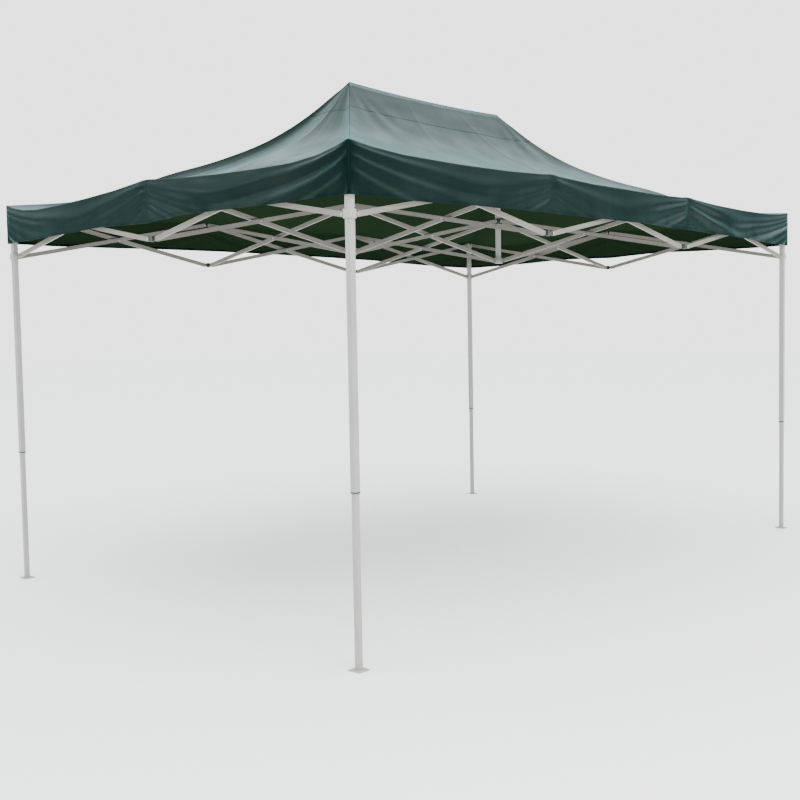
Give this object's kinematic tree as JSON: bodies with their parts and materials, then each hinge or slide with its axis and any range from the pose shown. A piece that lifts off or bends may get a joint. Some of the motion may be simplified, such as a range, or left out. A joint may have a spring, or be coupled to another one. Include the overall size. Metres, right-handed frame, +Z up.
{
  "type": "pop up gazebo",
  "caption": "Rectangular pop up gazebo: fabric hip roof with a valance on a folding scissor-bar frame, sprung peak masts and telescopic legs with foot plates.",
  "frame": {"origin": "on the ground, under the middle of the canopy", "axes": "+X along the long side to the right seen from the front, +Y to the back, +Z up"},
  "size_m": [4.491, 3.011, 3.045],
  "materials": {
    "canopy_fabric": "coated polyester, slight gloss",
    "leg_paint": "powder coat, satin",
    "bar_paint": "powder coat, satin",
    "bracket_plastic": "moulded, matt",
    "fastener_steel": "zinc plated"
  },
  "bodies": {
    "upper_hub_left": {"upper_hub_left": "bracket_plastic", "canopy": "canopy_fabric"},
    "bar_x00_falling": {"bar_x00_falling": "bar_paint"},
    "bar_x00_rising": {"bar_x00_rising": "bar_paint"},
    "bar_x10_falling": {"bar_x10_falling": "bar_paint"},
    "bar_x10_rising": {"bar_x10_rising": "bar_paint"},
    "bar_x20_falling": {"bar_x20_falling": "bar_paint"},
    "bar_x20_rising": {"bar_x20_rising": "bar_paint"},
    "bar_x01_falling": {"bar_x01_falling": "bar_paint"},
    "bar_x01_rising": {"bar_x01_rising": "bar_paint"},
    "bar_x11_falling": {"bar_x11_falling": "bar_paint"},
    "bar_x11_rising": {"bar_x11_rising": "bar_paint"},
    "bar_x21_falling": {"bar_x21_falling": "bar_paint"},
    "bar_x21_rising": {"bar_x21_rising": "bar_paint"},
    "bar_x02_falling": {"bar_x02_falling": "bar_paint"},
    "bar_x02_rising": {"bar_x02_rising": "bar_paint"},
    "bar_x12_falling": {"bar_x12_falling": "bar_paint"},
    "bar_x12_rising": {"bar_x12_rising": "bar_paint"},
    "bar_x22_falling": {"bar_x22_falling": "bar_paint"},
    "bar_x22_rising": {"bar_x22_rising": "bar_paint"},
    "bar_y00_falling": {"bar_y00_falling": "bar_paint"},
    "bar_y00_rising": {"bar_y00_rising": "bar_paint"},
    "bar_y01_falling": {"bar_y01_falling": "bar_paint"},
    "bar_y01_rising": {"bar_y01_rising": "bar_paint"},
    "bar_y10_falling": {"bar_y10_falling": "bar_paint"},
    "bar_y10_rising": {"bar_y10_rising": "bar_paint"},
    "bar_y11_falling": {"bar_y11_falling": "bar_paint"},
    "bar_y11_rising": {"bar_y11_rising": "bar_paint"},
    "bar_y20_falling": {"bar_y20_falling": "bar_paint"},
    "bar_y20_rising": {"bar_y20_rising": "bar_paint"},
    "bar_y21_falling": {"bar_y21_falling": "bar_paint"},
    "bar_y21_rising": {"bar_y21_rising": "bar_paint"},
    "bar_y30_falling": {"bar_y30_falling": "bar_paint"},
    "bar_y30_rising": {"bar_y30_rising": "bar_paint"},
    "bar_y31_falling": {"bar_y31_falling": "bar_paint"},
    "bar_y31_rising": {"bar_y31_rising": "bar_paint"},
    "upper_hub_right": {"upper_hub_right": "bracket_plastic"},
    "lower_hub_left": {"lower_hub_mast_left": "bar_paint"},
    "peak_mast_left": {"peak_mast_left": "bar_paint"},
    "lower_hub_right": {"lower_hub_mast_right": "bar_paint"},
    "peak_mast_right": {"peak_mast_right": "bar_paint"},
    "bracket_left": {"lower_bracket_left": "bracket_plastic"},
    "bracket_right": {"lower_bracket_right": "bracket_plastic"},
    "bracket_front_1": {"lower_bracket_front_1": "bracket_plastic"},
    "bracket_front_2": {"lower_bracket_front_2": "bracket_plastic"},
    "bracket_back_1": {"lower_bracket_back_1": "bracket_plastic"},
    "bracket_back_2": {"lower_bracket_back_2": "bracket_plastic"},
    "leg_front_left": {"outer_leg_front_left": "leg_paint"},
    "foot_front_left": {"inner_leg_front_left": "leg_paint"},
    "slider_front_left": {"slider_front_left": "leg_paint"},
    "leg_front_right": {"outer_leg_front_right": "leg_paint"},
    "foot_front_right": {"inner_leg_front_right": "leg_paint"},
    "slider_front_right": {"slider_front_right": "leg_paint"},
    "leg_back_left": {"outer_leg_back_left": "leg_paint"},
    "foot_back_left": {"inner_leg_back_left": "leg_paint"},
    "slider_back_left": {"slider_back_left": "leg_paint"},
    "leg_back_right": {"outer_leg_back_right": "leg_paint"},
    "foot_back_right": {"inner_leg_back_right": "leg_paint"},
    "slider_back_right": {"slider_back_right": "leg_paint"}
  },
  "joints": [
    {"name": "fold", "type": "hinge", "parent": "upper_hub_left", "child": "bar_x11_falling", "pos_m": [-0.702, 0.0065, 2.28], "axis": [0, 1, 0], "range_deg": [0, 72], "deforming": ["canopy"]},
    {"name": "pivot_x01_rising", "type": "hinge", "parent": "upper_hub_left", "child": "bar_x01_rising", "pos_m": [-0.778, -0.0065, 2.28], "axis": [0, 1, 0], "range_deg": [-73, 0]},
    {"name": "pivot_y11_falling", "type": "hinge", "parent": "upper_hub_left", "child": "bar_y11_falling", "pos_m": [-0.7335, 0.038, 2.28], "axis": [1, 0, 0], "range_deg": [-73, 0]},
    {"name": "pivot_y10_rising", "type": "hinge", "parent": "upper_hub_left", "child": "bar_y10_rising", "pos_m": [-0.7465, -0.038, 2.28], "axis": [1, 0, 0], "range_deg": [0, 73]},
    {"name": "cross_x11", "type": "hinge", "parent": "bar_x11_falling", "child": "bar_x11_rising", "pos_m": [0, 0, 2.14], "axis": [0, 1, 0], "range_deg": [-145, 0]},
    {"name": "cross_x01", "type": "hinge", "parent": "bar_x01_rising", "child": "bar_x01_falling", "pos_m": [-1.48, 0, 2.14], "axis": [0, 1, 0], "range_deg": [0, 145]},
    {"name": "cross_y11", "type": "hinge", "parent": "bar_y11_falling", "child": "bar_y11_rising", "pos_m": [-0.74, 0.74, 2.14], "axis": [1, 0, 0], "range_deg": [0, 145]},
    {"name": "cross_y10", "type": "hinge", "parent": "bar_y10_rising", "child": "bar_y10_falling", "pos_m": [-0.74, -0.74, 2.14], "axis": [1, 0, 0], "range_deg": [-145, 0]},
    {"name": "lower_hub_left_pivot", "type": "hinge", "parent": "bar_x11_rising", "child": "lower_hub_left", "pos_m": [-0.702, -0.0065, 2], "axis": [0, 1, 0], "range_deg": [0, 73]},
    {"name": "lower_hub_right_pivot", "type": "hinge", "parent": "bar_x11_falling", "child": "lower_hub_right", "pos_m": [0.702, 0.0065, 2], "axis": [0, 1, 0], "range_deg": [-73, 0]},
    {"name": "upper_hub_right_pivot", "type": "hinge", "parent": "bar_x11_rising", "child": "upper_hub_right", "pos_m": [0.702, -0.0065, 2.28], "axis": [0, 1, 0], "range_deg": [0, 73]},
    {"name": "pivot_x21_falling", "type": "hinge", "parent": "upper_hub_right", "child": "bar_x21_falling", "pos_m": [0.778, 0.0065, 2.28], "axis": [0, 1, 0], "range_deg": [0, 73]},
    {"name": "pivot_y21_falling", "type": "hinge", "parent": "upper_hub_right", "child": "bar_y21_falling", "pos_m": [0.7465, 0.038, 2.28], "axis": [1, 0, 0], "range_deg": [-73, 0]},
    {"name": "pivot_y20_rising", "type": "hinge", "parent": "upper_hub_right", "child": "bar_y20_rising", "pos_m": [0.7335, -0.038, 2.28], "axis": [1, 0, 0], "range_deg": [0, 73]},
    {"name": "cross_x21", "type": "hinge", "parent": "bar_x21_falling", "child": "bar_x21_rising", "pos_m": [1.48, 0, 2.14], "axis": [0, 1, 0], "range_deg": [-145, 0]},
    {"name": "cross_y21", "type": "hinge", "parent": "bar_y21_falling", "child": "bar_y21_rising", "pos_m": [0.74, 0.74, 2.14], "axis": [1, 0, 0], "range_deg": [0, 145]},
    {"name": "cross_y20", "type": "hinge", "parent": "bar_y20_rising", "child": "bar_y20_falling", "pos_m": [0.74, -0.74, 2.14], "axis": [1, 0, 0], "range_deg": [-145, 0]},
    {"name": "bracket_left_pivot", "type": "hinge", "parent": "bar_x01_rising", "child": "bracket_left", "pos_m": [-2.182, -0.0065, 2], "axis": [0, 1, 0], "range_deg": [0, 73]},
    {"name": "bracket_right_pivot", "type": "hinge", "parent": "bar_x21_falling", "child": "bracket_right", "pos_m": [2.182, 0.0065, 2], "axis": [0, 1, 0], "range_deg": [-73, 0]},
    {"name": "bracket_front_1_pivot", "type": "hinge", "parent": "bar_y10_rising", "child": "bracket_front_1", "pos_m": [-0.7465, -1.442, 2], "axis": [1, 0, 0], "range_deg": [-73, 0]},
    {"name": "bracket_front_2_pivot", "type": "hinge", "parent": "bar_y20_rising", "child": "bracket_front_2", "pos_m": [0.7335, -1.442, 2], "axis": [1, 0, 0], "range_deg": [-73, 0]},
    {"name": "bracket_back_1_pivot", "type": "hinge", "parent": "bar_y11_falling", "child": "bracket_back_1", "pos_m": [-0.7335, 1.442, 2], "axis": [1, 0, 0], "range_deg": [0, 73]},
    {"name": "bracket_back_2_pivot", "type": "hinge", "parent": "bar_y21_falling", "child": "bracket_back_2", "pos_m": [0.7465, 1.442, 2], "axis": [1, 0, 0], "range_deg": [0, 73]},
    {"name": "pivot_y00_falling", "type": "hinge", "parent": "bracket_left", "child": "bar_y00_falling", "pos_m": [-2.204, -0.0285, 2], "axis": [1, 0, 0], "range_deg": [-73, 0]},
    {"name": "pivot_y01_rising", "type": "hinge", "parent": "bracket_left", "child": "bar_y01_rising", "pos_m": [-2.217, 0.0285, 2], "axis": [1, 0, 0], "range_deg": [0, 73]},
    {"name": "cross_y00", "type": "hinge", "parent": "bar_y00_falling", "child": "bar_y00_rising", "pos_m": [-2.2105, -0.7305, 2.14], "axis": [1, 0, 0], "range_deg": [0, 145]},
    {"name": "cross_y01", "type": "hinge", "parent": "bar_y01_rising", "child": "bar_y01_falling", "pos_m": [-2.2105, 0.7305, 2.14], "axis": [1, 0, 0], "range_deg": [-145, 0]},
    {"name": "leg_front_left_pivot", "type": "hinge", "parent": "bar_y00_falling", "child": "leg_front_left", "pos_m": [-2.204, -1.4325, 2.28], "axis": [1, 0, 0], "range_deg": [0, 73]},
    {"name": "leg_back_left_pivot", "type": "hinge", "parent": "bar_y01_rising", "child": "leg_back_left", "pos_m": [-2.217, 1.4325, 2.28], "axis": [1, 0, 0], "range_deg": [-73, 0]},
    {"name": "slider_front_left_pivot", "type": "hinge", "parent": "bar_y00_rising", "child": "slider_front_left", "pos_m": [-2.217, -1.4325, 2], "axis": [1, 0, 0], "range_deg": [-73, 0]},
    {"name": "slider_back_left_pivot", "type": "hinge", "parent": "bar_y01_falling", "child": "slider_back_left", "pos_m": [-2.204, 1.4325, 2], "axis": [1, 0, 0], "range_deg": [0, 73]},
    {"name": "pivot_y30_falling", "type": "hinge", "parent": "bracket_right", "child": "bar_y30_falling", "pos_m": [2.217, -0.0285, 2], "axis": [1, 0, 0], "range_deg": [-73, 0]},
    {"name": "pivot_y31_rising", "type": "hinge", "parent": "bracket_right", "child": "bar_y31_rising", "pos_m": [2.204, 0.0285, 2], "axis": [1, 0, 0], "range_deg": [0, 73]},
    {"name": "cross_y30", "type": "hinge", "parent": "bar_y30_falling", "child": "bar_y30_rising", "pos_m": [2.2105, -0.7305, 2.14], "axis": [1, 0, 0], "range_deg": [0, 145]},
    {"name": "cross_y31", "type": "hinge", "parent": "bar_y31_rising", "child": "bar_y31_falling", "pos_m": [2.2105, 0.7305, 2.14], "axis": [1, 0, 0], "range_deg": [-145, 0]},
    {"name": "leg_front_right_pivot", "type": "hinge", "parent": "bar_y30_falling", "child": "leg_front_right", "pos_m": [2.217, -1.4325, 2.28], "axis": [1, 0, 0], "range_deg": [0, 73]},
    {"name": "leg_back_right_pivot", "type": "hinge", "parent": "bar_y31_rising", "child": "leg_back_right", "pos_m": [2.204, 1.4325, 2.28], "axis": [1, 0, 0], "range_deg": [-73, 0]},
    {"name": "slider_front_right_pivot", "type": "hinge", "parent": "bar_y30_rising", "child": "slider_front_right", "pos_m": [2.204, -1.4325, 2], "axis": [1, 0, 0], "range_deg": [-73, 0]},
    {"name": "slider_back_right_pivot", "type": "hinge", "parent": "bar_y31_falling", "child": "slider_back_right", "pos_m": [2.217, 1.4325, 2], "axis": [1, 0, 0], "range_deg": [0, 73]},
    {"name": "pivot_x00_falling", "type": "hinge", "parent": "bracket_front_1", "child": "bar_x00_falling", "pos_m": [-0.7685, -1.464, 2], "axis": [0, 1, 0], "range_deg": [0, 73]},
    {"name": "cross_x00", "type": "hinge", "parent": "bar_x00_falling", "child": "bar_x00_rising", "pos_m": [-1.4705, -1.4705, 2.14], "axis": [0, 1, 0], "range_deg": [-145, 0]},
    {"name": "pivot_x10_rising", "type": "hinge", "parent": "bracket_front_1", "child": "bar_x10_rising", "pos_m": [-0.702, -1.477, 2], "axis": [0, 1, 0], "range_deg": [-73, 0]},
    {"name": "cross_x10", "type": "hinge", "parent": "bar_x10_rising", "child": "bar_x10_falling", "pos_m": [0, -1.4705, 2.14], "axis": [0, 1, 0], "range_deg": [0, 145]},
    {"name": "pivot_x20_rising", "type": "hinge", "parent": "bracket_front_2", "child": "bar_x20_rising", "pos_m": [0.7685, -1.477, 2], "axis": [0, 1, 0], "range_deg": [-73, 0]},
    {"name": "cross_x20", "type": "hinge", "parent": "bar_x20_rising", "child": "bar_x20_falling", "pos_m": [1.4705, -1.4705, 2.14], "axis": [0, 1, 0], "range_deg": [0, 145]},
    {"name": "pivot_x02_falling", "type": "hinge", "parent": "bracket_back_1", "child": "bar_x02_falling", "pos_m": [-0.7685, 1.477, 2], "axis": [0, 1, 0], "range_deg": [0, 73]},
    {"name": "cross_x02", "type": "hinge", "parent": "bar_x02_falling", "child": "bar_x02_rising", "pos_m": [-1.4705, 1.4705, 2.14], "axis": [0, 1, 0], "range_deg": [-145, 0]},
    {"name": "pivot_x12_rising", "type": "hinge", "parent": "bracket_back_1", "child": "bar_x12_rising", "pos_m": [-0.702, 1.464, 2], "axis": [0, 1, 0], "range_deg": [-73, 0]},
    {"name": "cross_x12", "type": "hinge", "parent": "bar_x12_rising", "child": "bar_x12_falling", "pos_m": [0, 1.4705, 2.14], "axis": [0, 1, 0], "range_deg": [0, 145]},
    {"name": "pivot_x22_rising", "type": "hinge", "parent": "bracket_back_2", "child": "bar_x22_rising", "pos_m": [0.7685, 1.464, 2], "axis": [0, 1, 0], "range_deg": [-73, 0]},
    {"name": "cross_x22", "type": "hinge", "parent": "bar_x22_rising", "child": "bar_x22_falling", "pos_m": [1.4705, 1.4705, 2.14], "axis": [0, 1, 0], "range_deg": [0, 145]},
    {"name": "peak_mast_left_slide", "type": "slide", "parent": "lower_hub_left", "child": "peak_mast_left", "axis": [0, 0, 1], "range_m": [0, 0.46]},
    {"name": "peak_mast_right_slide", "type": "slide", "parent": "lower_hub_right", "child": "peak_mast_right", "axis": [0, 0, 1], "range_m": [0, 0.46]},
    {"name": "leg_height_front_left", "type": "slide", "parent": "leg_front_left", "child": "foot_front_left", "axis": [0, 0, 1], "range_m": [0, 0.76]},
    {"name": "leg_height_front_right", "type": "slide", "parent": "leg_front_right", "child": "foot_front_right", "axis": [0, 0, 1], "range_m": [0, 0.76]},
    {"name": "leg_height_back_left", "type": "slide", "parent": "leg_back_left", "child": "foot_back_left", "axis": [0, 0, 1], "range_m": [0, 0.76]},
    {"name": "leg_height_back_right", "type": "slide", "parent": "leg_back_right", "child": "foot_back_right", "axis": [0, 0, 1], "range_m": [0, 0.76]}
  ],
  "couplings": [
    {"joint": "pivot_x01_rising", "follows": "fold", "ratio": -1},
    {"joint": "pivot_y11_falling", "follows": "fold", "ratio": -1},
    {"joint": "pivot_y10_rising", "follows": "fold", "ratio": 1},
    {"joint": "cross_x11", "follows": "fold", "ratio": -2},
    {"joint": "cross_x01", "follows": "fold", "ratio": 2},
    {"joint": "cross_y11", "follows": "fold", "ratio": 2},
    {"joint": "cross_y10", "follows": "fold", "ratio": -2},
    {"joint": "lower_hub_left_pivot", "follows": "fold", "ratio": 1},
    {"joint": "lower_hub_right_pivot", "follows": "fold", "ratio": -1},
    {"joint": "upper_hub_right_pivot", "follows": "fold", "ratio": 1},
    {"joint": "pivot_x21_falling", "follows": "fold", "ratio": 1},
    {"joint": "pivot_y21_falling", "follows": "fold", "ratio": -1},
    {"joint": "pivot_y20_rising", "follows": "fold", "ratio": 1},
    {"joint": "cross_x21", "follows": "fold", "ratio": -2},
    {"joint": "cross_y21", "follows": "fold", "ratio": 2},
    {"joint": "cross_y20", "follows": "fold", "ratio": -2},
    {"joint": "bracket_left_pivot", "follows": "fold", "ratio": 1},
    {"joint": "bracket_right_pivot", "follows": "fold", "ratio": -1},
    {"joint": "bracket_front_1_pivot", "follows": "fold", "ratio": -1},
    {"joint": "bracket_front_2_pivot", "follows": "fold", "ratio": -1},
    {"joint": "bracket_back_1_pivot", "follows": "fold", "ratio": 1},
    {"joint": "bracket_back_2_pivot", "follows": "fold", "ratio": 1},
    {"joint": "pivot_y00_falling", "follows": "fold", "ratio": -1},
    {"joint": "pivot_y01_rising", "follows": "fold", "ratio": 1},
    {"joint": "cross_y00", "follows": "fold", "ratio": 2},
    {"joint": "cross_y01", "follows": "fold", "ratio": -2},
    {"joint": "leg_front_left_pivot", "follows": "fold", "ratio": 1},
    {"joint": "leg_back_left_pivot", "follows": "fold", "ratio": -1},
    {"joint": "slider_front_left_pivot", "follows": "fold", "ratio": -1},
    {"joint": "slider_back_left_pivot", "follows": "fold", "ratio": 1},
    {"joint": "pivot_y30_falling", "follows": "fold", "ratio": -1},
    {"joint": "pivot_y31_rising", "follows": "fold", "ratio": 1},
    {"joint": "cross_y30", "follows": "fold", "ratio": 2},
    {"joint": "cross_y31", "follows": "fold", "ratio": -2},
    {"joint": "leg_front_right_pivot", "follows": "fold", "ratio": 1},
    {"joint": "leg_back_right_pivot", "follows": "fold", "ratio": -1},
    {"joint": "slider_front_right_pivot", "follows": "fold", "ratio": -1},
    {"joint": "slider_back_right_pivot", "follows": "fold", "ratio": 1},
    {"joint": "pivot_x00_falling", "follows": "fold", "ratio": 1},
    {"joint": "cross_x00", "follows": "fold", "ratio": -2},
    {"joint": "pivot_x10_rising", "follows": "fold", "ratio": -1},
    {"joint": "cross_x10", "follows": "fold", "ratio": 2},
    {"joint": "pivot_x20_rising", "follows": "fold", "ratio": -1},
    {"joint": "cross_x20", "follows": "fold", "ratio": 2},
    {"joint": "pivot_x02_falling", "follows": "fold", "ratio": 1},
    {"joint": "cross_x02", "follows": "fold", "ratio": -2},
    {"joint": "pivot_x12_rising", "follows": "fold", "ratio": -1},
    {"joint": "cross_x12", "follows": "fold", "ratio": 2},
    {"joint": "pivot_x22_rising", "follows": "fold", "ratio": -1},
    {"joint": "cross_x22", "follows": "fold", "ratio": 2},
    {"joint": "peak_mast_left_slide", "follows": "fold", "m_per_rad": 0.36208},
    {"joint": "peak_mast_right_slide", "follows": "fold", "m_per_rad": 0.36208}
  ]
}
